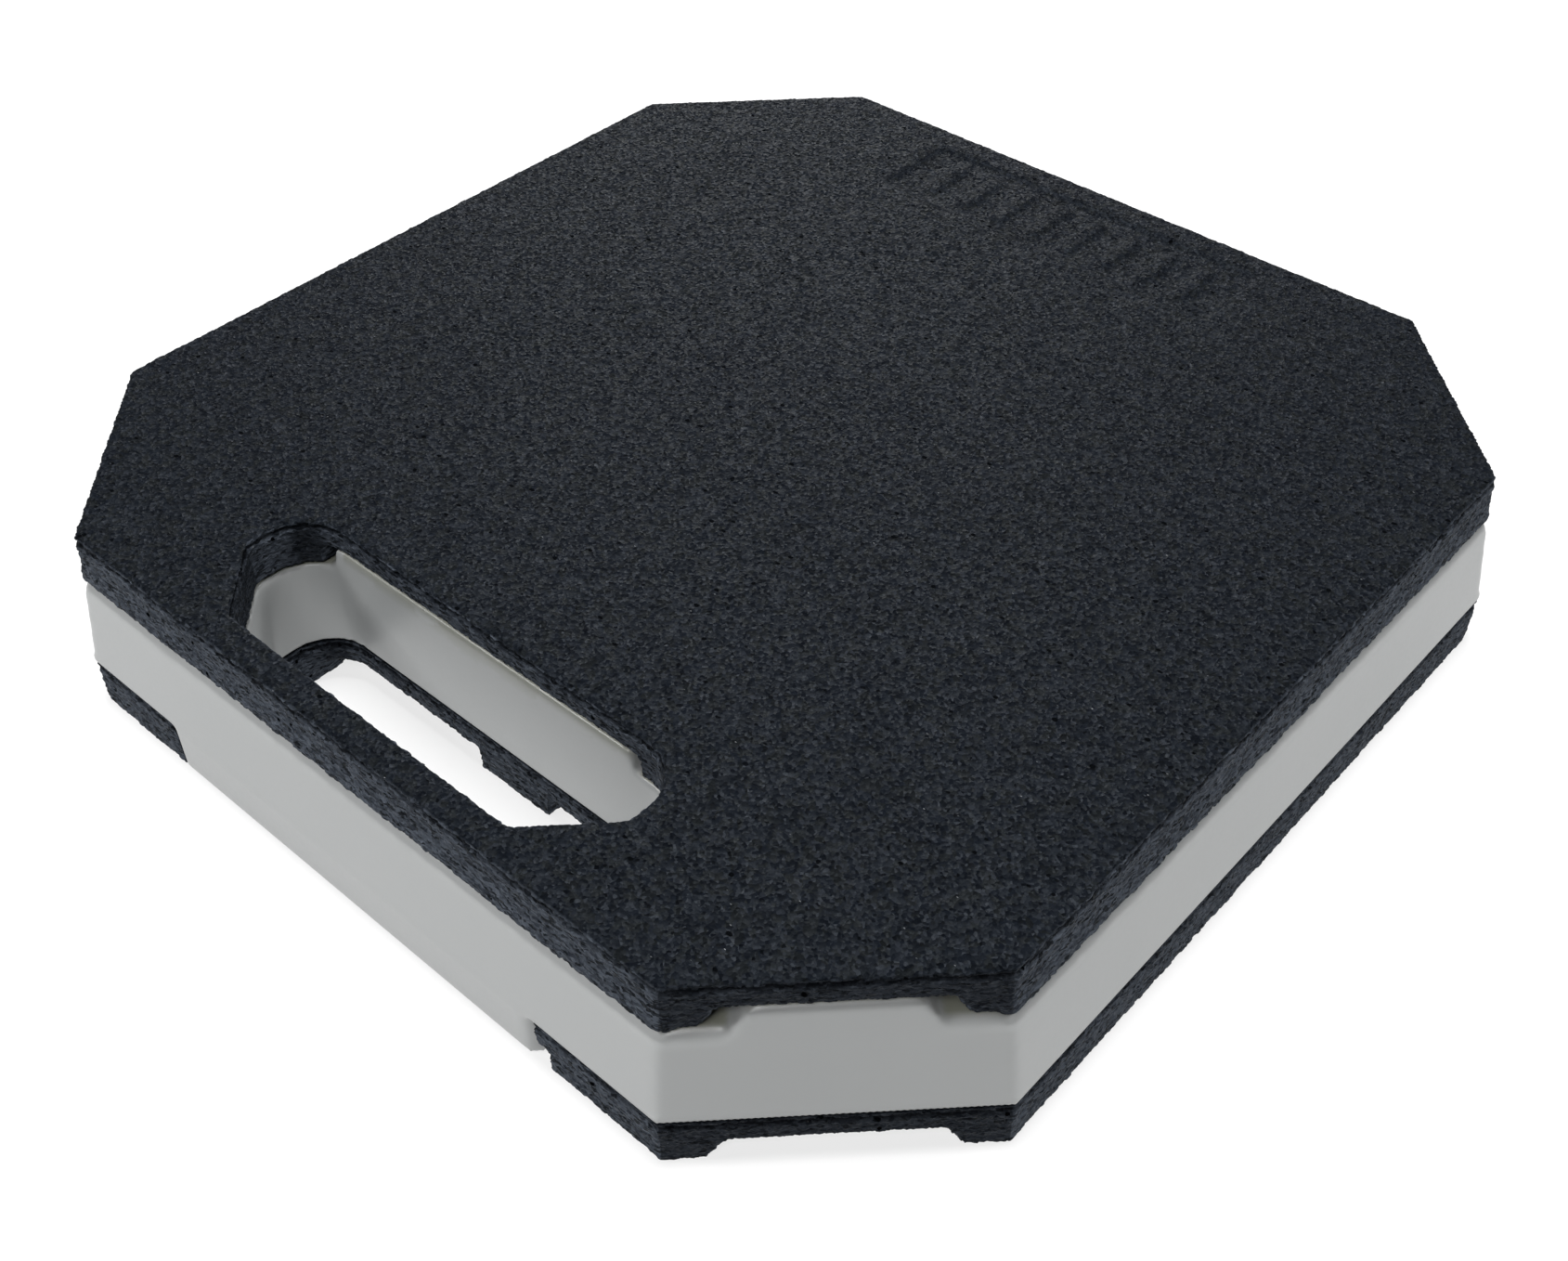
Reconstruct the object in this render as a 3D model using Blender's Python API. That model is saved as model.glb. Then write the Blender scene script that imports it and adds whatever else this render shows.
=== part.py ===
"""Stabiliser jack pad: a rigid plastic core between two moulded crumb-rubber pads.

The pad is a square block with cut corners, carried by a hand slot along one side.
+Z is up, the handle side faces -Y, and the origin is the middle of the ground plane.
All sizes are in metres.
"""

import math

import bmesh
import bpy
from mathutils import Matrix, Vector

# Outlines: half the width across the flats, and the leg of each cut corner.
TOP_PAD_HALF = 0.1525
TOP_PAD_LEG = 0.0502
BOTTOM_PAD_HALF = 0.1571
BOTTOM_PAD_LEG = 0.0529
CORE_TOP_HALF = 0.1536
CORE_TOP_LEG = 0.0508
CORE_BASE_HALF = 0.1575
CORE_BASE_LEG = 0.0534

# Heights of the stack, from the ground up.
PAD_THICKNESS = 0.0141
CORE_THICKNESS = 0.0267
GAP = 0.0003
CORE_Z = PAD_THICKNESS + GAP
TOP_PAD_Z = CORE_Z + CORE_THICKNESS + GAP

# The hand slot along X, near the -Y side: its near corners are cut, its far ones round.
SLOT_HALF_LENGTH = 0.0676
SLOT_NEAR_Y = -0.1434
SLOT_FAR_Y = -0.1070
SLOT_Y = (SLOT_NEAR_Y + SLOT_FAR_Y) / 2
SLOT_NEAR_LEG = 0.0180
SLOT_NEAR_RADIUS = 0.0040
SLOT_FAR_RADIUS = 0.0130

# The channels under each pad, from cut corner to cut corner.
CHANNEL_DEPTH = 0.0062
CHANNEL_HALF_AT_CEILING = 0.0236
CHANNEL_HALF_AT_FOOT = 0.0274

# The core's ridges, which fill the upper pad's channels.
RIDGE_HEIGHT = CHANNEL_DEPTH
RIDGE_HALF_AT_TOP = 0.0178
RIDGE_HALF_AT_ROOT = 0.0211
RIM_RADIUS = 0.0050
CUT_CORNER_RIM_SHARE = 0.6
RIDGE_RADIUS = 0.0024

# The relief around the slot under the lower pad, with a foot left in its middle.
RELIEF_LEFT = -0.0671
RELIEF_RIGHT = 0.0700
RELIEF_BACK_Y = -0.0915
FOOT_LEFT = -0.0108
FOOT_RIGHT = 0.0153

# The collar of the core along the slot, and its pocket under the upper pad.
COLLAR_LEFT = -0.0590
COLLAR_RIGHT = 0.0490
COLLAR_BACK_Y = -0.0955
COLLAR_CLEARANCE = 0.0025

# The tab of the core that reaches the ground under the carrying bar.
TAB_LEFT = -0.0682
TAB_RIGHT = 0.0656
TAB_CORNER_RADIUS = 0.0040
TAB_OVERLAP = 0.0008

# The blank label panel on top, with plain bars standing in it.
PANEL_X = -0.0010
PANEL_Y = 0.1285
PANEL_HALF_LENGTH = 0.0590
PANEL_HALF_WIDTH = 0.0150
PANEL_RADIUS = 0.0030
PANEL_DEPTH = 0.0013
PANEL_BARS = 8
BAR_HALF_WIDTH = 0.0022
BAR_HALF_LENGTH = 0.0095
BAR_RADIUS = 0.0020
BAR_DROP = 0.0003

# The pockets in the core's underside, between its ribs.
POCKET_PITCH = 0.0310
POCKET_HALF = 0.01375
POCKETS_EACH_WAY = 9
POCKET_CEILING = 0.0210
SHELL_HALF = 0.1476
SHELL_LEG = 0.0471
SLOT_WALL = 0.0050

# The adhesive coats, each in a shallow bed in the core.
BOND_THICKNESS = 0.0004
BOND_INSET = 0.0100
BOND_MARGIN = 0.0030
BOND_NEAR_Y = -0.0875
BED_DEPTH = BOND_THICKNESS + GAP

# Materials: colour, with its roughness below.
RUBBER_COLOUR = (0.018, 0.021, 0.027, 1.0)
RUBBER_ROUGHNESS = 0.85
PLASTIC_COLOUR = (0.50, 0.52, 0.51, 1.0)
PLASTIC_ROUGHNESS = 0.35
ADHESIVE_COLOUR = (0.55, 0.50, 0.36, 1.0)
ADHESIVE_ROUGHNESS = 0.5

# How edges and arcs are made.
RUBBER_EDGE = 0.0006
RUBBER_EDGE_STEPS = 2
RIM_STEPS = 5
RIDGE_STEPS = 3
CORNER_STEPS = 5
SOFTENED_ANGLE = math.radians(30)
SHARP_ANGLE = math.radians(35)
UPRIGHT_SHARE = 0.9

# How far a cutter runs past what it cuts, and how near counts as the same place.
OVERCUT = 0.002
TOLERANCE = 1e-5


def clear_scene():
    for thing in list(bpy.data.objects):
        bpy.data.objects.remove(thing, do_unlink=True)


def make_material(name, colour, roughness):
    material = bpy.data.materials.new(name)
    material.use_nodes = True
    shader = material.node_tree.nodes["Principled BSDF"]
    shader.inputs["Base Color"].default_value = colour
    shader.inputs["Roughness"].default_value = roughness
    shader.inputs["Metallic"].default_value = 0.0
    return material


# ---------------------------------------------------------------- outlines


def cut_corner_square(half, leg):
    """The eight corners, counter-clockwise from the -Y side's left end."""
    near = half - leg
    return [
        (-near, -half),
        (near, -half),
        (half, -near),
        (half, near),
        (near, half),
        (-near, half),
        (-half, near),
        (-half, -near),
    ]


def rectangle(left, right, near, far):
    return [(left, near), (right, near), (right, far), (left, far)]


def arc(before, corner, after, radius):
    """Points of the arc that turns left at a corner between two straight sides."""
    back = (before - corner).normalized()
    ahead = (after - corner).normalized()
    half_turn = (math.pi - back.angle(ahead)) / 2
    start = corner + back * radius * math.tan(half_turn)
    centre = corner + (back + ahead).normalized() * radius / math.cos(half_turn)
    points = []
    for step in range(CORNER_STEPS + 1):
        turn = Matrix.Rotation(2 * half_turn * step / CORNER_STEPS, 2)
        points.append(tuple(centre + turn @ (start - centre)))
    return points


def rounded_polygon(corners):
    """An outline through (x, y, radius) corners, given counter-clockwise."""
    spots = [Vector((x, y)) for x, y, _ in corners]
    points = []
    for index, (_, _, radius) in enumerate(corners):
        following = (index + 1) % len(spots)
        points += arc(spots[index - 1], spots[index], spots[following], radius)
    return points


def rounded_rectangle(left, right, near, far, radius):
    return rounded_polygon([(x, y, radius) for x, y in rectangle(left, right, near, far)])


def slot_outline(grow=0.0):
    """The hand slot, or a wall around it that is grown out by so much."""
    reach = SLOT_HALF_LENGTH + grow
    near = SLOT_NEAR_Y - grow
    far = SLOT_FAR_Y + grow
    leg = SLOT_NEAR_LEG + grow * (2 - math.sqrt(2))
    near_radius = SLOT_NEAR_RADIUS + grow
    far_radius = SLOT_FAR_RADIUS + grow
    return rounded_polygon(
        [
            (leg - reach, near, near_radius),
            (reach - leg, near, near_radius),
            (reach, near + leg, near_radius),
            (reach, far, far_radius),
            (-reach, far, far_radius),
            (-reach, near + leg, near_radius),
        ]
    )


# ---------------------------------------------------------------- solids


def link(name, mesh):
    thing = bpy.data.objects.new(name, mesh)
    bpy.context.scene.collection.objects.link(thing)
    return thing


def add_prism(shape, outline, low, high, top_outline=None):
    """Adds a closed prism to a bmesh. top_outline gives it draft."""
    top_outline = top_outline or outline
    base = [shape.verts.new((x, y, low)) for x, y in outline]
    top = [shape.verts.new((x, y, high)) for x, y in top_outline]
    shape.faces.new(list(reversed(base)))
    shape.faces.new(top)
    for index in range(len(base)):
        following = (index + 1) % len(base)
        shape.faces.new((base[index], base[following], top[following], top[index]))


def solid(name, *prisms):
    """An object of one or more prisms, each given as add_prism takes it."""
    shape = bmesh.new()
    for prism in prisms:
        add_prism(shape, *prism)
    mesh = bpy.data.meshes.new(name)
    shape.to_mesh(mesh)
    shape.free()
    return link(name, mesh)


def round_edges(thing, radius, segments, wanted):
    """Rounds the edges that the test picks, in the object's own mesh."""
    shape = bmesh.new()
    shape.from_mesh(thing.data)
    edges = [edge for edge in shape.edges if wanted(edge)]
    bmesh.ops.bevel(
        shape, geom=edges, offset=radius, segments=segments, profile=0.5,
        affect="EDGES", clamp_overlap=True,
    )
    shape.to_mesh(thing.data)
    shape.free()


def as_guide(thing):
    thing.hide_render = True
    thing.display_type = "WIRE"
    return thing


def combine(thing, other, operation):
    """Adds a live Boolean to thing, and hides the other operand."""
    modifier = thing.modifiers.new(operation.lower() + "_" + other.name, "BOOLEAN")
    modifier.operation = operation
    modifier.solver = "EXACT"
    modifier.object = as_guide(other)


def cut(thing, cutter):
    combine(thing, cutter, "DIFFERENCE")


def soften(thing, width, segments):
    """Rounds every edge sharper than the softened angle, after the cuts."""
    modifier = thing.modifiers.new("edge_rounding", "BEVEL")
    modifier.width = width
    modifier.segments = segments
    modifier.limit_method = "ANGLE"
    modifier.angle_limit = SOFTENED_ANGLE
    modifier.miter_outer = "MITER_ARC"


def finish(thing, material, parent, height):
    thing.data.materials.append(material)
    thing.data.shade_smooth()
    thing.data.set_sharp_from_angle(angle=SHARP_ANGLE)
    thing.parent = parent
    thing.location.z = height


def diagonal_bar(name, foot_half, top_half, height, angle):
    """A long bar of trapezoid section along one diagonal, standing on z = 0."""
    slope = (foot_half - top_half) / height
    below = foot_half + slope * OVERCUT
    reach = 2 * BOTTOM_PAD_HALF
    low = rectangle(-reach, reach, -below, below)
    high = rectangle(-reach, reach, -top_half, top_half)
    bar = solid(name, (low, -OVERCUT, height, high))
    bar.rotation_euler.z = angle
    return bar


def diagonals(name, foot_half, top_half, height):
    return [
        diagonal_bar(name + "_a", foot_half, top_half, height, math.radians(45)),
        diagonal_bar(name + "_b", foot_half, top_half, height, math.radians(-45)),
    ]


def place_guides(guides, height):
    for guide in guides:
        guide.location.z = height


# ---------------------------------------------------------------- the pads


def cut_channels(pad, height):
    """The two diagonal channels of a pad whose underside is at the height."""
    name = pad.name + "_channel"
    guides = diagonals(name, CHANNEL_HALF_AT_FOOT, CHANNEL_HALF_AT_CEILING, CHANNEL_DEPTH)
    place_guides(guides, height)
    for guide in guides:
        cut(pad, guide)


def slot_cutter(name, low, high):
    return solid(name, (slot_outline(), low, high))


def make_label_panel():
    """A plain recess with a row of plain bars left standing in it."""
    panel = solid(
        "label_panel_cutter",
        (
            rounded_rectangle(
                PANEL_X - PANEL_HALF_LENGTH, PANEL_X + PANEL_HALF_LENGTH,
                PANEL_Y - PANEL_HALF_WIDTH, PANEL_Y + PANEL_HALF_WIDTH, PANEL_RADIUS,
            ),
            PAD_THICKNESS - PANEL_DEPTH,
            PAD_THICKNESS + OVERCUT,
        ),
    )
    pitch = 2 * PANEL_HALF_LENGTH / (PANEL_BARS + 1)
    bars = []
    for index in range(PANEL_BARS):
        x = PANEL_X - PANEL_HALF_LENGTH + pitch * (index + 1)
        outline = rounded_rectangle(
            x - BAR_HALF_WIDTH, x + BAR_HALF_WIDTH,
            PANEL_Y - BAR_HALF_LENGTH, PANEL_Y + BAR_HALF_LENGTH, BAR_RADIUS,
        )
        bars.append((outline, 0.0, PAD_THICKNESS - BAR_DROP))
    cut(panel, solid("label_bars_cutter", *bars))
    return panel


def make_top_pad(material, parent):
    """The upper pad, with channels that take the core's ridges and collar from below."""
    outline = cut_corner_square(TOP_PAD_HALF, TOP_PAD_LEG)
    pad = solid("top_pad", (outline, 0.0, PAD_THICKNESS))
    finish(pad, material, parent, TOP_PAD_Z)
    cut_channels(pad, TOP_PAD_Z)
    pocket = solid(
        "collar_pocket_cutter",
        (
            rectangle(
                COLLAR_LEFT - COLLAR_CLEARANCE, COLLAR_RIGHT + COLLAR_CLEARANCE,
                SLOT_Y, COLLAR_BACK_Y + COLLAR_CLEARANCE,
            ),
            -OVERCUT,
            CHANNEL_DEPTH,
        ),
    )
    slot = slot_cutter("top_pad_slot_cutter", -OVERCUT, PAD_THICKNESS + OVERCUT)
    panel = make_label_panel()
    for guide in (pocket, slot, panel):
        guide.location.z = TOP_PAD_Z
        cut(pad, guide)
    bpy.data.objects["label_bars_cutter"].location.z = TOP_PAD_Z
    soften(pad, RUBBER_EDGE, RUBBER_EDGE_STEPS)


def make_bottom_pad(material, parent):
    """The lower pad, whose channels and reliefs are its tread, open where the tab comes down."""
    outline = cut_corner_square(BOTTOM_PAD_HALF, BOTTOM_PAD_LEG)
    pad = solid("bottom_pad", (outline, 0.0, PAD_THICKNESS))
    finish(pad, material, parent, 0.0)
    cut_channels(pad, 0.0)
    near = -BOTTOM_PAD_HALF - OVERCUT
    reliefs = solid(
        "slot_relief_cutter",
        (rectangle(RELIEF_LEFT, RELIEF_RIGHT, near, SLOT_FAR_Y), -OVERCUT, CHANNEL_DEPTH),
    )
    back_reliefs = solid(
        "slot_back_relief_cutter",
        (rectangle(RELIEF_LEFT, FOOT_LEFT, SLOT_Y, RELIEF_BACK_Y), -OVERCUT, CHANNEL_DEPTH),
        (rectangle(FOOT_RIGHT, RELIEF_RIGHT, SLOT_Y, RELIEF_BACK_Y), -OVERCUT, CHANNEL_DEPTH),
    )
    tab_notch = solid(
        "tab_notch_cutter",
        (
            rectangle(TAB_LEFT - GAP, TAB_RIGHT + GAP, near, SLOT_Y),
            -OVERCUT,
            PAD_THICKNESS + OVERCUT,
        ),
    )
    slot = slot_cutter("bottom_pad_slot_cutter", -OVERCUT, PAD_THICKNESS + OVERCUT)
    for guide in (reliefs, back_reliefs, slot, tab_notch):
        cut(pad, guide)
    soften(pad, RUBBER_EDGE, RUBBER_EDGE_STEPS)


# ---------------------------------------------------------------- the core


def core_outline_at(height):
    """The drafted outline of the core, at a height above its underside."""
    share = height / CORE_THICKNESS
    half = CORE_BASE_HALF + (CORE_TOP_HALF - CORE_BASE_HALF) * share
    leg = CORE_BASE_LEG + (CORE_TOP_LEG - CORE_BASE_LEG) * share
    return cut_corner_square(half, leg)


def drafted_block(name, low, high):
    return solid(name, (core_outline_at(low), low, high, core_outline_at(high)))


def is_top_edge(height):
    def test(edge):
        return all(abs(vertex.co.z - height) < TOLERANCE for vertex in edge.verts)

    return test


def is_upright(edge):
    first, second = (vertex.co for vertex in edge.verts)
    return abs(first.z - second.z) > UPRIGHT_SHARE * (first - second).length


def round_rim(core):
    """Rounds the rim of the core's top, less along the cut corners."""
    corners = core.data.vertices
    weights = core.data.attributes.new("bevel_weight_edge", "FLOAT", "EDGE")
    for edge, weight in zip(core.data.edges, weights.data):
        first, second = (corners[index].co for index in edge.vertices)
        on_rim = min(first.z, second.z) > CORE_THICKNESS - TOLERANCE
        slanted = min(abs(first.x - second.x), abs(first.y - second.y)) > TOLERANCE
        weight.value = on_rim * (CUT_CORNER_RIM_SHARE if slanted else 1.0)
    modifier = core.modifiers.new("rim_rounding", "BEVEL")
    modifier.limit_method = "WEIGHT"
    modifier.width = RIM_RADIUS
    modifier.segments = RIM_STEPS


def make_ridges():
    """The cross of ridges, clipped to the core's drafted sides."""
    ridge_top = CORE_THICKNESS + RIDGE_HEIGHT
    guides = diagonals("core_ridge", RIDGE_HALF_AT_ROOT, RIDGE_HALF_AT_TOP, RIDGE_HEIGHT)
    for guide in guides:
        round_edges(guide, RIDGE_RADIUS, RIDGE_STEPS, is_top_edge(RIDGE_HEIGHT))
        guide.location.z = CORE_Z + CORE_THICKNESS
        clip = drafted_block(guide.name + "_clip", CORE_THICKNESS - 2 * RIM_RADIUS, ridge_top)
        clip.location.z = CORE_Z
        round_edges(clip, RIDGE_RADIUS, RIDGE_STEPS, is_top_edge(ridge_top))
        combine(guide, clip, "INTERSECT")
    return guides


def make_collar():
    collar = solid(
        "core_collar",
        (
            rectangle(COLLAR_LEFT, COLLAR_RIGHT, SLOT_Y, COLLAR_BACK_Y),
            CORE_THICKNESS - RIM_RADIUS,
            CORE_THICKNESS + RIDGE_HEIGHT,
        ),
    )
    round_edges(collar, RIDGE_RADIUS, RIDGE_STEPS, is_top_edge(CORE_THICKNESS + RIDGE_HEIGHT))
    return collar


def make_tab():
    """The block under the carrying bar, with a rounded free end."""
    tab = solid(
        "core_tab",
        (
            rectangle(TAB_LEFT, TAB_RIGHT, -CORE_BASE_HALF, SLOT_NEAR_Y),
            -CORE_Z,
            TAB_OVERLAP,
        ),
    )
    free_end = TAB_RIGHT - TOLERANCE
    round_edges(
        tab, TAB_CORNER_RADIUS, CORNER_STEPS,
        lambda edge: is_upright(edge) and edge.verts[0].co.x > free_end,
    )
    return tab


def slot_surround(name, wall, low, high):
    """The slot, its wall and the carrying bar, as one upright block."""
    reach = SLOT_HALF_LENGTH + wall
    block = solid(name, (slot_outline(wall), low, high))
    bar = solid(
        name + "_bar",
        (rectangle(-reach, reach, -BOTTOM_PAD_HALF, SLOT_Y), low, high),
    )
    combine(block, bar, "UNION")
    return block, bar


def make_pockets():
    """A grid of blind pockets, kept clear of the outer wall and of the slot."""
    boxes = []
    middle = (POCKETS_EACH_WAY - 1) / 2
    for column in range(POCKETS_EACH_WAY):
        for row in range(POCKETS_EACH_WAY):
            x = (column - middle) * POCKET_PITCH
            y = (row - middle) * POCKET_PITCH
            outline = rectangle(
                x - POCKET_HALF, x + POCKET_HALF, y - POCKET_HALF, y + POCKET_HALF
            )
            boxes.append((outline, -OVERCUT, POCKET_CEILING))
    pockets = solid("core_pocket_cutter", *boxes)
    shell = cut_corner_square(SHELL_HALF, SHELL_LEG)
    field = solid("core_pocket_field", (shell, -2 * OVERCUT, CORE_THICKNESS))
    block, bar = slot_surround("core_slot_wall", SLOT_WALL, -2 * OVERCUT, CORE_THICKNESS)
    place_guides((pockets, field, block, bar), CORE_Z)
    combine(pockets, field, "INTERSECT")
    cut(pockets, block)
    return pockets


def land_patch(turns, margin, half, leg):
    """One of the four lands between the ridges, turned by quarter turns from +X."""
    apex = margin * math.sqrt(2)
    near = half - leg
    corner_x = (half + near + apex) / 2
    corner_y = corner_x - apex
    points = [(apex, 0.0), (corner_x, -corner_y), (half, -near), (half, near), (corner_x, corner_y)]
    for _ in range(turns):
        points = [(-y, x) for x, y in points]
    return points


def front_patch(margin, near_y):
    """The land on the handle side, which stops short of the slot."""
    apex = margin * math.sqrt(2)
    half_width = -near_y - apex
    return [(0.0, -apex), (-half_width, near_y), (half_width, near_y)]


def upper_bond_outlines(grow):
    margin = CHANNEL_HALF_AT_FOOT + BOND_MARGIN - grow
    half = CORE_TOP_HALF - BOND_INSET + grow
    leg = CORE_TOP_LEG - (BOND_INSET - grow) * (2 - math.sqrt(2))
    return {
        "top_bond_right": land_patch(0, margin, half, leg),
        "top_bond_back": land_patch(1, margin, half, leg),
        "top_bond_left": land_patch(2, margin, half, leg),
        "top_bond_front": front_patch(margin, BOND_NEAR_Y - grow),
    }


def lower_bond_sheet(name, low, high, grow):
    """The octagonal coat under the core, cut away around the slot and the bar."""
    half = CORE_TOP_HALF - BOND_INSET + grow
    leg = CORE_TOP_LEG - (BOND_INSET - grow) * (2 - math.sqrt(2))
    sheet = solid(name, (cut_corner_square(half, leg), low, high))
    wall = SLOT_WALL + BOND_INSET - grow
    block, bar = slot_surround(name + "_slot", wall, -CORE_THICKNESS, CORE_THICKNESS)
    cut(sheet, block)
    place_guides((sheet, block, bar), CORE_Z)
    return sheet


def cut_bond_beds(core):
    """Shallow beds that take the adhesive coats flush."""
    top = CORE_THICKNESS
    beds = [(outline, top - BED_DEPTH, top + GAP) for outline in upper_bond_outlines(GAP).values()]
    upper = solid("upper_bed_cutter", *beds)
    upper.location.z = CORE_Z
    cut(core, upper)
    cut(core, lower_bond_sheet("lower_bed_cutter", -GAP, BED_DEPTH, GAP))


def make_core(material, parent):
    """The plastic moulding: block, ridges, collar and tab, then the slot, pockets and beds."""
    core = drafted_block("core", 0.0, CORE_THICKNESS)
    finish(core, material, parent, CORE_Z)
    round_rim(core)
    additions = [*make_ridges(), make_collar(), make_tab()]
    place_guides(additions[-2:], CORE_Z)
    for guide in additions:
        combine(core, guide, "UNION")
    slot = slot_cutter("core_slot_cutter", -2 * CORE_THICKNESS, 2 * CORE_THICKNESS)
    slot.location.z = CORE_Z
    cut(core, slot)
    cut(core, make_pockets())
    cut_bond_beds(core)


def make_bond_layers(material, parent):
    top = CORE_THICKNESS
    for name, outline in upper_bond_outlines(0.0).items():
        layer = solid(name, (outline, top - BOND_THICKNESS, top))
        finish(layer, material, parent, CORE_Z)
    lower = lower_bond_sheet("bottom_bond_layer", 0.0, BOND_THICKNESS, 0.0)
    finish(lower, material, parent, CORE_Z)


def main():
    clear_scene()
    assembly = bpy.data.objects.new("jack_pad_assembly", None)
    bpy.context.scene.collection.objects.link(assembly)
    rubber = make_material("crumb_rubber", RUBBER_COLOUR, RUBBER_ROUGHNESS)
    plastic = make_material("core_plastic", PLASTIC_COLOUR, PLASTIC_ROUGHNESS)
    adhesive = make_material("adhesive", ADHESIVE_COLOUR, ADHESIVE_ROUGHNESS)
    make_bottom_pad(rubber, assembly)
    make_core(plastic, assembly)
    make_top_pad(rubber, assembly)
    make_bond_layers(adhesive, assembly)


main()
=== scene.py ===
"""The looks of the stabiliser jack pad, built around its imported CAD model.

Each CAD solid is copied, rebuilt as a fine even mesh, and shaped: the two rubber pads get the
relief of pressed granules, and the core gets the soft blends of a plastic moulding.
Lengths are in metres, +Z is up, and the handle side faces -Y.
"""

import math

import bmesh
import bpy
import numpy as np
from mathutils import Euler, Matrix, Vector


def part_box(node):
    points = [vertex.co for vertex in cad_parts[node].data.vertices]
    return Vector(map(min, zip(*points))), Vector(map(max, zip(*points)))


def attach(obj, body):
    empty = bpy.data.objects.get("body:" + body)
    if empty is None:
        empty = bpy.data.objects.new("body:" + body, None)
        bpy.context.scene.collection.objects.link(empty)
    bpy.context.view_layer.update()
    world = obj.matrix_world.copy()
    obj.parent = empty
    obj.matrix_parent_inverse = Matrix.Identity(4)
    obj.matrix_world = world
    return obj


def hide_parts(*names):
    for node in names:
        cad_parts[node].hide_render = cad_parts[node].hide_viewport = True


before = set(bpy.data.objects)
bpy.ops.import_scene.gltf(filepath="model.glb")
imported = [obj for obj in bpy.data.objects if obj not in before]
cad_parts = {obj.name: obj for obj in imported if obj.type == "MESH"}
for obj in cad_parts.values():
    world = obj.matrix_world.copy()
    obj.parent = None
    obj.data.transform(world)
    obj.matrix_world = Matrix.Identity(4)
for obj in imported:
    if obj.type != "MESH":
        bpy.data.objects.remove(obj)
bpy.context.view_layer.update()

# The camera, as the photograph was taken.
CAMERA_PLACE = (0.26313, -0.28960, 0.35046)
CAMERA_TURN_DEG = (46.457, 0.580, 41.909)
CAMERA_LENS_MM = 41.97
SENSOR_WIDTH_MM = 36.0
CAMERA_CLIP_START = 0.01

# The studio: a glowing pale floor, a backdrop as pale, and soft lights (name, place, size, power).
FLOOR_SIZE = 8.0
FLOOR_TONE = 0.18
FLOOR_GLOW = 0.74
FLOOR_ROUGHNESS = 0.9
FLOOR_SPECULAR = 0.1
BACKDROP_RADIUS = 7.0
LIGHT_AIM = (0.0, 0.0, 0.03)
LIGHTS = (
    ("overhead", (0.0, 0.0, 1.6), 0.4, 34.0),
    ("front_right_high", (0.5, -1.0, 1.4), 0.5, 11.0),
    ("left_front_high", (-0.88, -1.0, 1.2), 0.4, 14.0),
    ("back_left", (-1.1, 1.2, 0.9), 0.9, 28.0),
    ("back_right", (0.9, 1.0, 1.15), 0.4, 11.0),
)

# How fine the rebuilt meshes are, and how much they are relaxed.
SKIN_VOXEL = 0.0010
RELAX_FACTOR = 0.5
RUBBER_RELAX_ROUNDS = 2
CORE_RELAX_ROUNDS = 10

# How much of the core's foot keeps its crisp edge.
FOOT_BAND = 0.003

# Faces whose normals have this much Z or more are flat ones, which stay coarse.
FLAT_NORMAL = 0.97

# Crumb rubber: the size of a granule, how flat it is, and how many of them a clump spans.
GRANULE = 0.0019
SHRED_FLATNESS = 2.0
CLUMP = 2.6
TOP_PAD_SEED = 11
BOTTOM_PAD_SEED = 29
CLUMP_SEED_STEP = 7

# How far its surface drops, how that is shared out, and how far the sides stand proud.
FLAT_DROP = 0.00012
SIDE_DROP = 0.00060
RIM_DROP = 0.00070
GRANULE_SHARE = 0.55
CLUMP_SHARE = 0.25
CRACK_SHARE = 0.35
CRACK_WIDTH = 0.25
SIDE_SWELL = 0.00035

# How far the upper pad's straight sides bulge over the core, and how high up that starts.
TOP_PAD_BULGE = 0.0013
BULGE_HEIGHT = 0.007
BULGE_SETBACK = (0.003, 0.001)

# The torn groove just under a pad's top edge.
GROOVE_BELOW = 0.0016
GROOVE_HALF_HEIGHT = 0.0011
GROOVE_DEPTH = 0.0011
GROOVE_WANDER = 0.0005
GROOVE_LEAST = 0.35

# Rubber colours: the chips and grains on top, the torn sides, and what is scattered over both.
CHIP_DARK = (0.0015, 0.0020, 0.0031, 1.0)
CHIP_LIGHT = (0.0036, 0.0047, 0.0070, 1.0)
CHIP_OLIVE = (0.0040, 0.0046, 0.0048, 1.0)
GRAIN_PALE = (0.013, 0.015, 0.019, 1.0)
GRAIN_BLACK = (0.0004, 0.0005, 0.0008, 1.0)
TORN_DARK = (0.021, 0.025, 0.033, 1.0)
TORN_LIGHT = (0.084, 0.097, 0.119, 1.0)
TORN_BLACK = (0.005, 0.006, 0.007, 1.0)
PIT_COLOUR = (0.0015, 0.0018, 0.0022, 1.0)
SLIVER_DULL = (0.025, 0.028, 0.032, 1.0)
SLIVER_BRIGHT = (0.14, 0.145, 0.15, 1.0)
# Painted shade: the dark colour laid in the torn groove under the top edge.
GROOVE_PAINTED_SHADE = (0.0022, 0.0026, 0.0034, 1.0)
RUBBER_SHEEN = (0.76, 0.89, 1.0, 1.0)

# How many of each lie along a metre, and their proportions.
CHIPS = (520.0, (1.0, 1.0, 2.0))
GRAINS = (1300.0, (1.0, 1.0, 1.7))
SHREDS = (640.0, (1.0, 1.0, 3.2))
PITS = (210.0, (1.0, 1.4, 1.0))
SLIVERS = (300.0, (1.0, 2.6, 1.0))
WOBBLES = 420.0
WOBBLE_REACH = 0.0011

# How much of the torn colours the straight sides and the cut corners take.
STRAIGHT_TORN_SHARE = 0.85
CORNER_TORN_SHARE = 0.3

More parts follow.
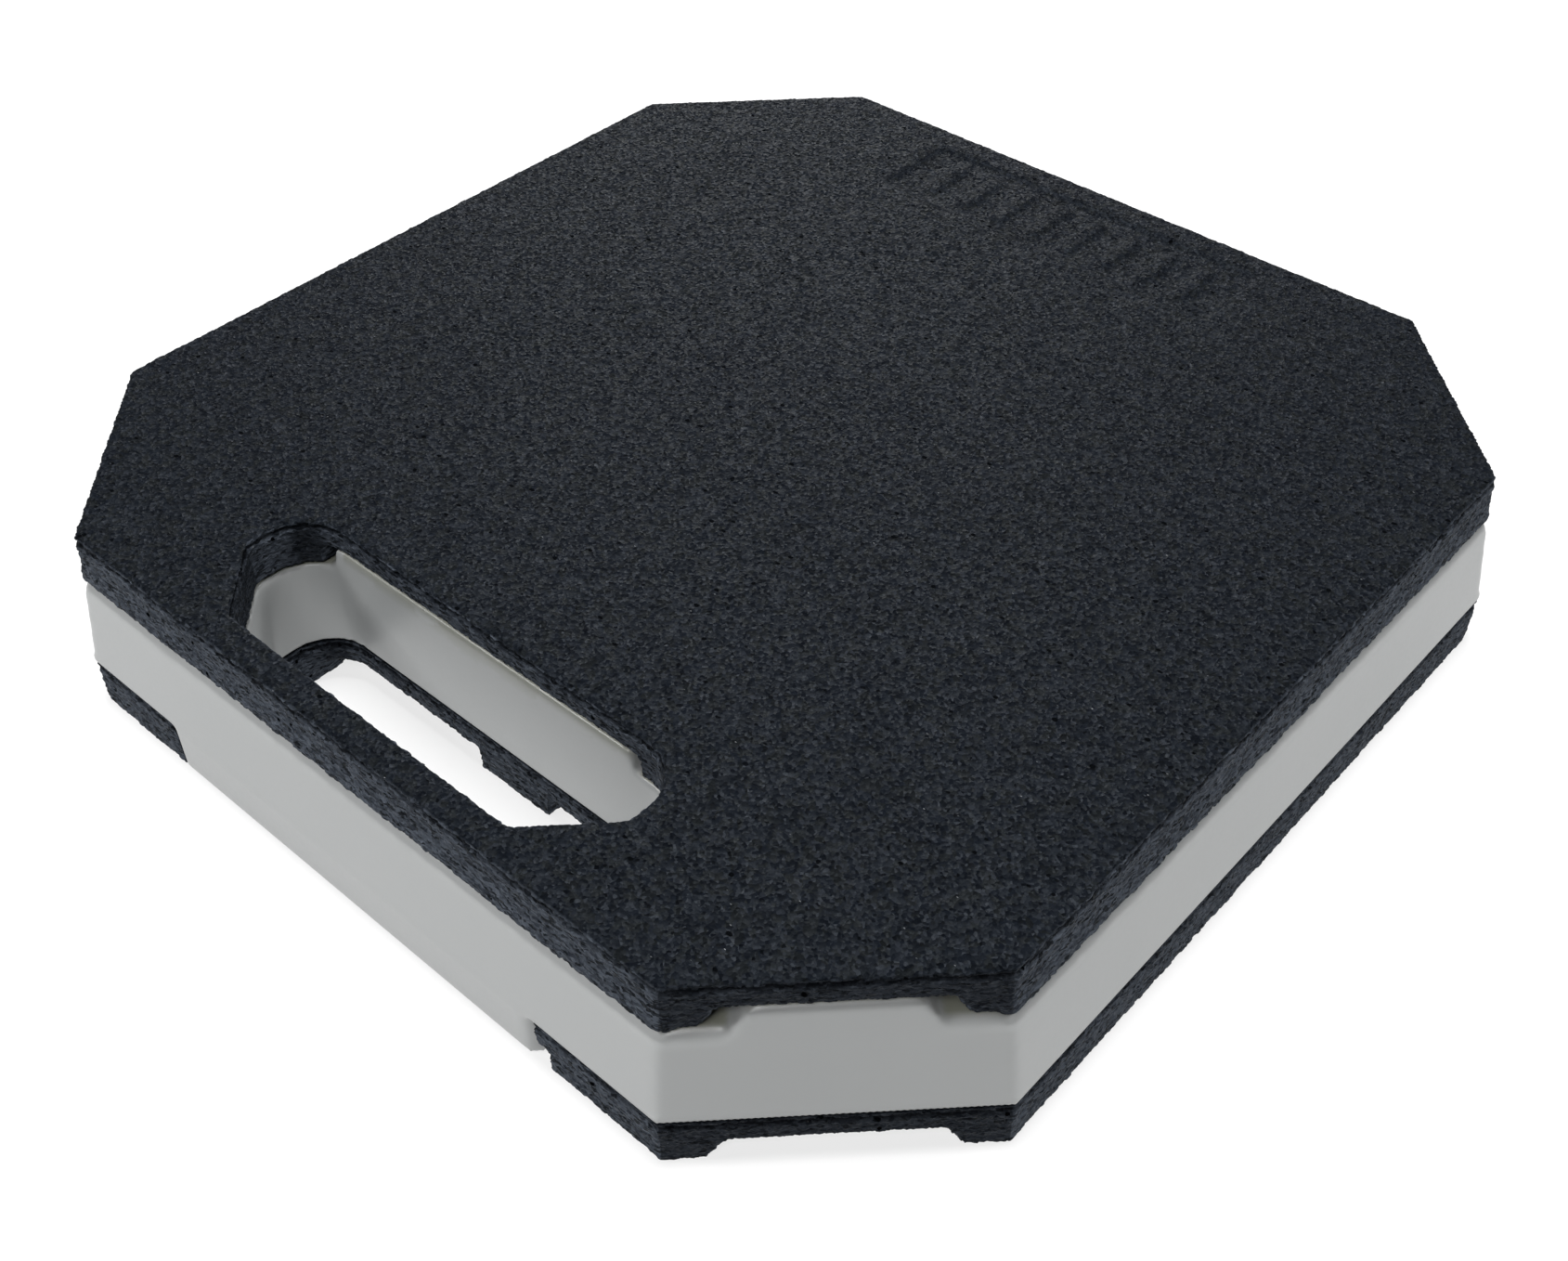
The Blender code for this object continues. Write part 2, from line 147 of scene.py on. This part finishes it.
# The core's plastic and the adhesive.
PLASTIC_DARK = (0.340, 0.350, 0.350, 1.0)
PLASTIC_LIGHT = (0.357, 0.366, 0.366, 1.0)
DIRT_COLOUR = (0.10, 0.10, 0.09, 1.0)
# Painted shade: a greenish tan laid on the core where the rubber's edge overhangs it.
SHADE_UNDER_RUBBER_COLOUR = (0.200, 0.203, 0.155, 1.0)
ADHESIVE_DARK = (0.46, 0.40, 0.26, 1.0)
ADHESIVE_LIGHT = (0.60, 0.55, 0.40, 1.0)

# Where shade under the rubber is painted on the core: its ledges, and the far wall of the hand slot
# under the rubber.
SLOT_WALL_Y = -0.107
SLOT_WALL_BAND = 0.004
SLOT_WALL_REACH = 0.055
LEDGE_BELOW = 0.0016
LEDGE_SHADE_SHARE = 0.8
SLOT_WALL_SHADE_SHARE = 0.7
SHADE_BLOTCH = 0.012
SHADE_SEED = 5
SHADE_LEAST_RUN = 0.002
SHADE_EXTRA_RUN = 0.005


# ---------------------------------------------------------------- repeatable noise


# Large odd numbers that stir the bits of a hash, for each axis, for the seed, and for each round.
AXIS_STIR = np.array([73856093, 19349663, 83492791], np.uint32)
SEED_STIR = 2654435
SEED_OFFSET = 97
FIRST_STIR = np.uint32(2246822519)
SECOND_STIR = np.uint32(3266489917)


def hashed(cells, seed):
    """Three repeatable numbers from 0 to 1 for each whole-number cell."""
    stirred = cells.astype(np.uint32) * AXIS_STIR
    number = stirred[:, 0] ^ stirred[:, 1] ^ stirred[:, 2] ^ np.uint32(seed * SEED_STIR + SEED_OFFSET)
    values = []
    for _ in range(3):
        number = (number ^ (number >> np.uint32(15))) * FIRST_STIR
        number = (number ^ (number >> np.uint32(13))) * SECOND_STIR
        number = number ^ (number >> np.uint32(16))
        values.append(number / np.float64(2**32))
    return np.stack(values, axis=1)


def granules(points, size, seed):
    """For each point, how much farther the second nearest granule's middle is than the nearest,
    in granule sizes, and a number from 0 to 1 that is the nearest granule's own."""
    scaled = points / size
    home = np.floor(scaled).astype(np.int64)
    nearest = np.full(len(points), 9.0)
    following = np.full(len(points), 9.0)
    own = np.zeros(len(points))
    for dx in (-1, 0, 1):
        for dy in (-1, 0, 1):
            for dz in (-1, 0, 1):
                cell = home + (dx, dy, dz)
                jitter = hashed(cell, seed)
                away = np.linalg.norm(cell + jitter - scaled, axis=1)
                closer = away < nearest
                following = np.where(closer, nearest, np.minimum(following, away))
                own = np.where(closer, hashed(cell, seed + 1)[:, 0], own)
                nearest = np.where(closer, away, nearest)
    return following - nearest, own


# ---------------------------------------------------------------- meshes


def copy_of(node, name):
    """A new object with a copy of a CAD node's mesh."""
    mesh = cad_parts[node].data.copy()
    mesh.name = name
    mesh.materials.clear()
    piece = bpy.data.objects.new(name, mesh)
    bpy.context.scene.collection.objects.link(piece)
    return piece


def settle(piece):
    """Applies the piece's modifiers to its mesh."""
    graph = bpy.context.evaluated_depsgraph_get()
    mesh = bpy.data.meshes.new_from_object(piece.evaluated_get(graph))
    piece.modifiers.clear()
    old = piece.data
    piece.data = mesh
    mesh.name = piece.name
    bpy.data.meshes.remove(old)


def rebuild(piece):
    """Turns the mesh into an even skin of small quads."""
    remesh = piece.modifiers.new("even_skin", "REMESH")
    remesh.mode = "VOXEL"
    remesh.voxel_size = SKIN_VOXEL
    remesh.use_smooth_shade = True
    settle(piece)


def relax(piece, rounds, above=-1.0):
    """Relaxes the mesh, leaving what lies below the given height as it is."""
    group = piece.vertex_groups.new(name="relaxed")
    heights = read_points(piece.data)[:, 2]
    group.add(np.nonzero(heights > above)[0].tolist(), 1.0, "REPLACE")
    modifier = piece.modifiers.new("relax", "SMOOTH")
    modifier.factor = RELAX_FACTOR
    modifier.iterations = rounds
    modifier.vertex_group = group.name
    settle(piece)


def read_points(mesh):
    points = np.empty(len(mesh.vertices) * 3, np.float32)
    mesh.vertices.foreach_get("co", points)
    return points.reshape(-1, 3).astype(np.float64)


def read_normals(mesh):
    normals = np.empty(len(mesh.vertices) * 3, np.float32)
    mesh.vertices.foreach_get("normal", normals)
    return normals.reshape(-1, 3).astype(np.float64)


def write_points(mesh, points):
    mesh.vertices.foreach_set("co", points.astype(np.float32).ravel())
    mesh.update()


def write_attribute(mesh, name, values):
    layer = mesh.attributes.new(name, "FLOAT", "POINT")
    layer.data.foreach_set("value", values.astype(np.float32))


def ramp(values, low, high):
    return np.clip((values - low) / (high - low), 0.0, 1.0)


def refine_sides(mesh):
    """Halves the size of the quads everywhere but on the flat faces."""
    shape = bmesh.new()
    shape.from_mesh(mesh)
    steep = [face for face in shape.faces if abs(face.normal.z) < FLAT_NORMAL]
    edges = list(dict.fromkeys(edge for face in steep for edge in face.edges))
    bmesh.ops.subdivide_edges(shape, edges=edges, cuts=1, use_grid_fill=True)
    for face in shape.faces:
        face.smooth = True
    shape.to_mesh(mesh)
    shape.free()


def bulged(points, node):
    """A share from 0 to 1: full at the foot of a pad's straight outer sides, none higher up."""
    low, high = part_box(node)
    reach = np.maximum(np.abs(points[:, 0]), np.abs(points[:, 1]))
    start, full = BULGE_SETBACK
    outer = ramp(reach, high.x - start, high.x - full)
    return outer * ramp(points[:, 2], low.z + BULGE_HEIGHT, low.z)


def press_granules(piece, node, seed, bulge):
    """Gives a rubber pad the relief of its granules, and notes where its sides and groove are."""
    mesh = piece.data
    foot_z, top_z = (corner.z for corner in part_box(node))
    points = read_points(mesh)
    normals = read_normals(mesh)
    upright = np.abs(normals[:, 2])
    side = ramp(upright, 0.9, 0.35)
    rim = ramp(upright, 0.98, 0.8) * ramp(upright, 0.2, 0.45)
    square = np.maximum(np.abs(normals[:, 0]), np.abs(normals[:, 1]))
    level = np.sqrt(np.maximum(1.0 - upright**2, 1e-9))
    straight = ramp(square / level, 0.80, 0.93) * side
    shreds = points * (1.0, 1.0, SHRED_FLATNESS)
    crack, own = granules(shreds, GRANULE, seed)
    _, clump = granules(points, GRANULE * CLUMP, seed + CLUMP_SEED_STEP)
    drop = FLAT_DROP + (SIDE_DROP - FLAT_DROP) * side + (RIM_DROP - SIDE_DROP) * rim
    cracked = ramp(crack, CRACK_WIDTH, 0.0)
    sunk = drop * (GRANULE_SHARE * own + CLUMP_SHARE * clump + CRACK_SHARE * cracked)
    below = np.abs(top_z - GROOVE_BELOW - points[:, 2] + GROOVE_WANDER * (own - clump))
    groove = ramp(below, GROOVE_HALF_HEIGHT, 0.0) * ramp(upright, 0.85, 0.5)
    sunk += groove * GROOVE_DEPTH * (GROOVE_LEAST + (1.0 - GROOVE_LEAST) * clump)
    sunk -= SIDE_SWELL * side
    sunk -= bulge * bulged(points, node) * side
    moved = points - normals * sunk[:, None]
    moved[:, 2] = np.clip(moved[:, 2], foot_z, top_z)
    write_points(mesh, moved)
    write_attribute(mesh, "groove", groove)
    write_attribute(mesh, "side", side)
    write_attribute(mesh, "straight_side", straight)


# ---------------------------------------------------------------- materials


class Shader:
    """A small helper for making node trees."""

    def __init__(self, name):
        self.material = bpy.data.materials.new(name)
        self.material.use_nodes = True
        self.tree = self.material.node_tree
        self.main = self.tree.nodes["Principled BSDF"]

    def node(self, kind, **settings):
        made = self.tree.nodes.new("ShaderNode" + kind)
        for key, value in settings.items():
            setattr(made, key, value)
        return made

    def put(self, socket, value):
        if isinstance(value, bpy.types.NodeSocket):
            self.tree.links.new(value, socket)
        else:
            socket.default_value = value

    def maths(self, operation, first, second):
        made = self.node("Math", operation=operation)
        self.put(made.inputs[0], first)
        self.put(made.inputs[1], second)
        return made.outputs[0]

    def between(self, value, low, high, new_low=0.0, new_high=1.0):
        made = self.node("MapRange", clamp=True)
        for socket, entry in zip(made.inputs, (value, low, high, new_low, new_high)):
            self.put(socket, entry)
        return made.outputs[0]

    def mix(self, share, first, second):
        made = self.node("Mix", data_type="RGBA")
        self.put(made.inputs["Factor"], share)
        self.put(made.inputs[6], first)
        self.put(made.inputs[7], second)
        return made.outputs[2]

    def scaled(self, vector, scale):
        made = self.node("Mapping")
        self.put(made.inputs["Vector"], vector)
        made.inputs["Scale"].default_value = scale
        return made.outputs[0]

    def noise(self, vector, scale, detail=2.0):
        made = self.node("TexNoise")
        self.put(made.inputs["Vector"], vector)
        made.inputs["Scale"].default_value = scale
        made.inputs["Detail"].default_value = detail
        return made

    def cells(self, vector, scale):
        made = self.node("TexVoronoi")
        self.put(made.inputs["Vector"], vector)
        made.inputs["Scale"].default_value = scale
        return made

    def channels(self, colour):
        made = self.node("SeparateColor")
        self.put(made.inputs[0], colour)
        return made.outputs[0], made.outputs[1], made.outputs[2]

    def wobbled(self, vector, scale, reach):
        """The vector, pushed about by noise, so that cells lose their straight edges."""
        made = self.node("VectorMath", operation="MULTIPLY_ADD")
        self.put(made.inputs[0], self.noise(vector, scale).outputs["Color"])
        made.inputs[1].default_value = (reach, reach, reach)
        self.put(made.inputs[2], vector)
        return made.outputs[0]

    def spots(self, vector, scale, radius, rarity, shape):
        """A mask of scattered spots, with a random number for each one."""
        made = self.cells(self.scaled(vector, shape), scale)
        chance, own, _ = self.channels(made.outputs["Color"])
        here = self.between(made.outputs["Distance"], radius, radius * 0.7)
        return self.maths("MULTIPLY", here, self.between(chance, rarity, rarity + 0.01)), own

    def attribute(self, name):
        return self.node("Attribute", attribute_name=name).outputs["Fac"]

    def bump(self, height, strength, distance, under=None):
        made = self.node("Bump")
        made.inputs["Strength"].default_value = strength
        made.inputs["Distance"].default_value = distance
        self.put(made.inputs["Height"], height)
        if under is not None:
            self.put(made.inputs["Normal"], under)
        return made.outputs[0]


def top_tone(shader, chips, grains):
    """The pressed face: dull chips, some of them olive, with pale and black grains."""
    chip_share, chip_hue, _ = shader.channels(chips.outputs["Color"])
    grain_share, grain_bright, _ = shader.channels(grains.outputs["Color"])
    tone = shader.mix(chip_share, CHIP_DARK, CHIP_LIGHT)
    olive = shader.maths("MULTIPLY", shader.between(chip_hue, 0.70, 0.80), 0.7)
    tone = shader.mix(olive, tone, CHIP_OLIVE)
    tone = shader.mix(shader.between(grain_share, 0.80, 0.95, 0.0, 0.75), tone, GRAIN_PALE)
    return shader.mix(shader.between(grain_bright, 0.12, 0.02, 0.0, 0.8), tone, GRAIN_BLACK)


def torn_tone(shader, place):
    """The torn sides: long pale shreds with dark ones between them."""
    scale, shape = SHREDS
    shreds = shader.cells(shader.scaled(place, shape), scale)
    share, dark, _ = shader.channels(shreds.outputs["Color"])
    torn = shader.mix(share, TORN_DARK, TORN_LIGHT)
    return shader.mix(shader.between(dark, 0.75, 0.85, 0.0, 0.9), torn, TORN_BLACK)


def rubber_material():
    """Pressed granules: dull chips, bright slivers and black pits on top, torn shreds on the sides."""
    shader = Shader("crumb_rubber")
    place = shader.wobbled(shader.node("TexCoord").outputs["Object"], WOBBLES, WOBBLE_REACH)
    chips = shader.cells(shader.scaled(place, CHIPS[1]), CHIPS[0])
    grains = shader.cells(shader.scaled(place, GRAINS[1]), GRAINS[0])
    pits, _ = shader.spots(place, PITS[0], 0.16, 0.78, PITS[1])
    slivers, sliver_share = shader.spots(place, SLIVERS[0], 0.085, 0.90, SLIVERS[1])
    groove = shader.attribute("groove")

    straight = shader.maths("MULTIPLY", shader.attribute("straight_side"), STRAIGHT_TORN_SHARE)
    corner = shader.maths("MULTIPLY", shader.attribute("side"), CORNER_TORN_SHARE)
    torn_share = shader.maths("MAXIMUM", straight, corner)
    tone = shader.mix(torn_share, top_tone(shader, chips, grains), torn_tone(shader, place))
    tone = shader.mix(pits, tone, PIT_COLOUR)
    tone = shader.mix(slivers, tone, shader.mix(sliver_share, SLIVER_DULL, SLIVER_BRIGHT))
    # Painted shade in the groove under the top edge.
    tone = shader.mix(shader.maths("MULTIPLY", groove, 0.95), tone, GROOVE_PAINTED_SHADE)
    shader.put(shader.main.inputs["Base Color"], tone)

    _, _, grain_shine = shader.channels(grains.outputs["Color"])
    shader.put(shader.main.inputs["Roughness"], shader.between(grain_shine, 0.0, 1.0, 0.55, 0.92))
    bare = shader.maths("SUBTRACT", 1.0, shader.maths("MAXIMUM", pits, groove))
    shine = shader.maths("MULTIPLY", shader.between(grain_shine, 0.0, 1.0, 0.10, 0.02), bare)
    shader.put(shader.main.inputs["Specular IOR Level"], shine)
    shader.main.inputs["Specular Tint"].default_value = RUBBER_SHEEN

    relief = shader.bump(chips.outputs["Distance"], 0.32, 0.0008)
    relief = shader.bump(grains.outputs["Distance"], 0.45, 0.0005, relief)
    relief = shader.bump(shader.maths("SUBTRACT", 1.0, pits), 0.8, 0.0006, relief)
    shader.put(shader.main.inputs["Normal"], relief)
    return shader.material


def plastic_material():
    """Satin moulded plastic, faintly clouded, with a few specks of dirt and painted shade under the
    rubber's edge.
    """
    shader = Shader("core_plastic")
    place = shader.node("TexCoord").outputs["Object"]
    cloud = shader.noise(place, 14.0, 3.0).outputs["Fac"]
    tone = shader.mix(shader.between(cloud, 0.3, 0.7), PLASTIC_DARK, PLASTIC_LIGHT)
    dirt, _ = shader.spots(place, 60.0, 0.022, 0.90, (1.0, 1.0, 1.0))
    tone = shader.mix(shader.maths("MULTIPLY", dirt, 0.7), tone, DIRT_COLOUR)
    # Painted shade under the rubber's edge, mixed into the plastic's colour.
    tone = shader.mix(shader.attribute("shade_under_rubber"), tone, SHADE_UNDER_RUBBER_COLOUR)
    shader.put(shader.main.inputs["Base Color"], tone)
    fine = shader.noise(place, 900.0).outputs["Fac"]
    shader.put(shader.main.inputs["Roughness"], shader.between(fine, 0.3, 0.7, 0.30, 0.36))
    wave = shader.noise(place, 40.0).outputs["Fac"]
    shader.put(shader.main.inputs["Normal"], shader.bump(wave, 0.12, 0.0015))
    return shader.material


def adhesive_material():
    """Cured adhesive: amber, clouded and slightly lumpy."""
    shader = Shader("adhesive")
    place = shader.node("TexCoord").outputs["Object"]
    cloud = shader.noise(place, 90.0, 4.0).outputs["Fac"]
    tone = shader.mix(shader.between(cloud, 0.35, 0.65), ADHESIVE_DARK, ADHESIVE_LIGHT)
    shader.put(shader.main.inputs["Base Color"], tone)
    shader.put(shader.main.inputs["Roughness"], shader.between(cloud, 0.3, 0.7, 0.35, 0.6))
    shader.put(shader.main.inputs["Normal"], shader.bump(cloud, 0.4, 0.0006))
    return shader.material


def floor_material():
    shader = Shader("plain_floor")
    shader.main.inputs["Base Color"].default_value = (FLOOR_TONE, FLOOR_TONE, FLOOR_TONE, 1.0)
    shader.main.inputs["Roughness"].default_value = FLOOR_ROUGHNESS
    shader.main.inputs["Specular IOR Level"].default_value = FLOOR_SPECULAR
    shader.main.inputs["Emission Color"].default_value = (1.0, 1.0, 1.0, 1.0)
    shader.main.inputs["Emission Strength"].default_value = FLOOR_GLOW
    return shader.material


# ---------------------------------------------------------------- pieces


def make_rubber(node, name, seed, bulge, material):
    piece = copy_of(node, name)
    rebuild(piece)
    relax(piece, RUBBER_RELAX_ROUNDS)
    refine_sides(piece.data)
    press_granules(piece, node, seed, bulge)
    piece.data.materials.append(material)
    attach(piece, "root")
    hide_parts(node)


def make_core(material):
    piece = copy_of("core", "core_moulding")
    rebuild(piece)
    relax(piece, CORE_RELAX_ROUNDS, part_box("bottom_pad")[1].z + FOOT_BAND)
    mark_painted_shade(piece)
    piece.data.materials.append(material)
    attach(piece, "root")
    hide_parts("core")


def mark_painted_shade(piece):
    """Notes where shade under the rubber's edge is painted on the core."""
    points = read_points(piece.data)
    normals = read_normals(piece.data)
    top_pad_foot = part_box("top_pad")[0].z
    ledge = ramp(normals[:, 2], 0.80, 0.97) * (points[:, 2] > top_pad_foot - LEDGE_BELOW)
    collar_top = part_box("core")[1].z
    _, blotch = granules(points, SHADE_BLOTCH, SHADE_SEED)
    run_foot = collar_top - SHADE_LEAST_RUN - SHADE_EXTRA_RUN * blotch
    run = ramp(points[:, 2], run_foot, collar_top)
    on_wall = np.abs(points[:, 1] - SLOT_WALL_Y) < SLOT_WALL_BAND
    in_slot = on_wall * (np.abs(points[:, 0]) < SLOT_WALL_REACH)
    shade_under_rubber = np.maximum(LEDGE_SHADE_SHARE * ledge, SLOT_WALL_SHADE_SHARE * run * in_slot)
    write_attribute(piece.data, "shade_under_rubber", shade_under_rubber)


def finish_bonds(material):
    """The adhesive coats keep their CAD shape, with a better material."""
    for name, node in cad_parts.items():
        if "bond" in name:
            node.data.materials.clear()
            node.data.materials.append(material)


# ---------------------------------------------------------------- stage


def add_light(name, place, size, power):
    light = bpy.data.lights.new(name, "AREA")
    light.shape = "SQUARE"
    light.size = size
    light.energy = power
    lamp = bpy.data.objects.new(name, light)
    bpy.context.scene.collection.objects.link(lamp)
    lamp.location = place
    lamp.rotation_euler = (Vector(LIGHT_AIM) - Vector(place)).to_track_quat("-Z", "Y").to_euler()


def make_backdrop():
    """A pale ball around everything, which lights nothing."""
    shader = Shader("plain_backdrop")
    shader.main.inputs["Base Color"].default_value = (0.0, 0.0, 0.0, 1.0)
    shader.main.inputs["Emission Color"].default_value = (1.0, 1.0, 1.0, 1.0)
    shader.main.inputs["Emission Strength"].default_value = FLOOR_GLOW
    shader.material.cycles.emission_sampling = "NONE"
    bpy.ops.mesh.primitive_uv_sphere_add(radius=BACKDROP_RADIUS, segments=64, ring_count=32)
    ball = bpy.context.object
    ball.name = "plain_backdrop"
    ball.data.materials.append(shader.material)
    ball.visible_diffuse = False
    ball.visible_glossy = False
    ball.visible_shadow = False


def make_stage():
    make_backdrop()
    bpy.ops.mesh.primitive_plane_add(size=FLOOR_SIZE, location=(0.0, 0.0, 0.0))
    floor = bpy.context.object
    floor.name = "plain_floor"
    floor.data.materials.append(floor_material())
    world = bpy.data.worlds.new("studio")
    bpy.context.scene.world = world
    world.use_nodes = True
    world.node_tree.nodes["Background"].inputs[1].default_value = 0.0
    for name, place, size, power in LIGHTS:
        add_light(name, place, size, power)


def make_camera():
    camera = bpy.data.cameras.new("photo_view")
    camera.lens = CAMERA_LENS_MM
    camera.sensor_width = SENSOR_WIDTH_MM
    camera.clip_start = CAMERA_CLIP_START
    holder = bpy.data.objects.new("photo_view", camera)
    bpy.context.scene.collection.objects.link(holder)
    holder.location = CAMERA_PLACE
    holder.rotation_euler = Euler([math.radians(turn) for turn in CAMERA_TURN_DEG], "XYZ")
    bpy.context.scene.camera = holder


def main():
    make_camera()
    make_stage()
    rubber = rubber_material()
    make_rubber("top_pad", "top_rubber_pad", TOP_PAD_SEED, TOP_PAD_BULGE, rubber)
    make_rubber("bottom_pad", "bottom_rubber_pad", BOTTOM_PAD_SEED, 0.0, rubber)
    make_core(plastic_material())
    finish_bonds(adhesive_material())
    bpy.context.scene.view_settings.view_transform = "Standard"


main()
